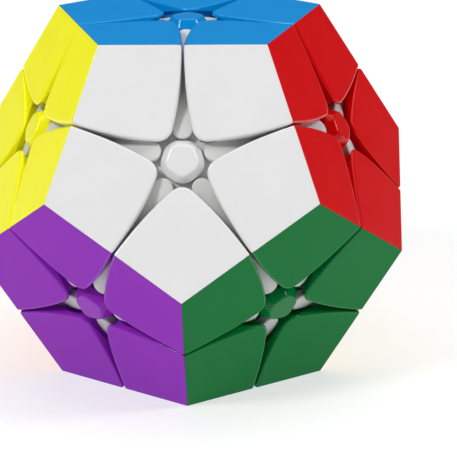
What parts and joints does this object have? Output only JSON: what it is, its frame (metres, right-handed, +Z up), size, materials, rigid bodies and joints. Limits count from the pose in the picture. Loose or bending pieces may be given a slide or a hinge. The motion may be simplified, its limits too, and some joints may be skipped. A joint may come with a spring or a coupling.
{
  "type": "dodecahedral twisty puzzle",
  "caption": "Dodecahedral twisty puzzle: coloured corner tiles on white bodies, a raised cap in the middle of each face, and face layers that turn.",
  "frame": {"origin": "middle of the light blue face, which the puzzle stands on", "axes": "+Z up through the blue face, -Y towards the white face, which leans back by 26.6 degrees"},
  "size_m": [0.0786, 0.0826, 0.0668],
  "materials": {
    "body_plastic": "satin",
    "steel": "plain",
    "plastic_blue": "satin",
    "plastic_white": "satin",
    "plastic_red": "satin",
    "plastic_pink": "satin",
    "plastic_lime": "satin",
    "plastic_yellow": "satin",
    "plastic_green": "satin",
    "plastic_cream": "satin",
    "plastic_grey": "satin",
    "plastic_orange": "satin",
    "plastic_purple": "satin",
    "plastic_light_blue": "satin"
  },
  "bodies": {
    "still_part": {"cap_blue": "plastic_blue", "cap_cream": "plastic_cream", "cap_green": "plastic_green", "cap_grey": "plastic_grey", "cap_orange": "plastic_orange", "cap_pink": "plastic_pink", "cap_purple": "plastic_purple", "cap_red": "plastic_red", "cap_yellow": "plastic_yellow", "centres_still": "body_plastic", "core": "body_plastic", "corner_blue_red_pink": "body_plastic", "corner_pink_cream_grey": "body_plastic", "corner_red_green_cream": "body_plastic", "corner_red_pink_cream": "body_plastic", "corner_yellow_orange_purple": "body_plastic", "edges_still_back": "body_plastic", "edges_still_front": "body_plastic", "edges_still_left": "body_plastic", "edges_still_right": "body_plastic", "edges_still_top": "body_plastic", "screws": "steel", "springs": "steel", "washers": "steel"},
    "white_layer": {"cap_white": "plastic_white", "centre_white": "plastic_white", "corner_blue_white_red": "body_plastic", "corner_blue_white_yellow": "body_plastic", "corner_white_green_purple": "body_plastic", "corner_white_red_green": "body_plastic", "corner_white_yellow_purple": "body_plastic", "edge_blue_white": "body_plastic", "edge_white_green": "body_plastic", "edge_white_purple": "body_plastic", "edge_white_red": "body_plastic", "edge_white_yellow": "body_plastic"},
    "lime_layer": {"cap_lime": "plastic_lime", "centre_lime": "plastic_lime", "corner_blue_lime_yellow": "body_plastic", "corner_blue_pink_lime": "body_plastic", "corner_lime_grey_orange": "body_plastic", "corner_lime_yellow_orange": "body_plastic", "corner_pink_lime_grey": "body_plastic", "edge_blue_lime": "body_plastic", "edge_lime_grey": "body_plastic", "edge_lime_orange": "body_plastic", "edge_lime_yellow": "body_plastic", "edge_pink_lime": "body_plastic"},
    "light_blue_layer": {"cap_light_blue": "plastic_light_blue", "centre_light_blue": "plastic_light_blue", "corner_cream_grey_light_blue": "body_plastic", "corner_green_cream_light_blue": "body_plastic", "corner_green_purple_light_blue": "body_plastic", "corner_grey_orange_light_blue": "body_plastic", "corner_orange_purple_light_blue": "body_plastic", "edge_cream_light_blue": "body_plastic", "edge_green_light_blue": "body_plastic", "edge_grey_light_blue": "body_plastic", "edge_orange_light_blue": "body_plastic", "edge_purple_light_blue": "body_plastic"}
  },
  "joints": [
    {"name": "white_face_turn", "type": "hinge", "parent": "still_part", "child": "white_layer", "pos_m": [0, 0, 0.03341], "axis": [0, -0.8944, 0.4472], "continuous": true},
    {"name": "lime_face_turn", "type": "hinge", "parent": "still_part", "child": "lime_layer", "pos_m": [0, 0, 0.03341], "axis": [-0.5257, 0.7236, 0.4472], "continuous": true},
    {"name": "light_blue_face_turn", "type": "hinge", "parent": "still_part", "child": "light_blue_layer", "pos_m": [0, 0, 0.03341], "axis": [0, 0, -1], "continuous": true}
  ]
}
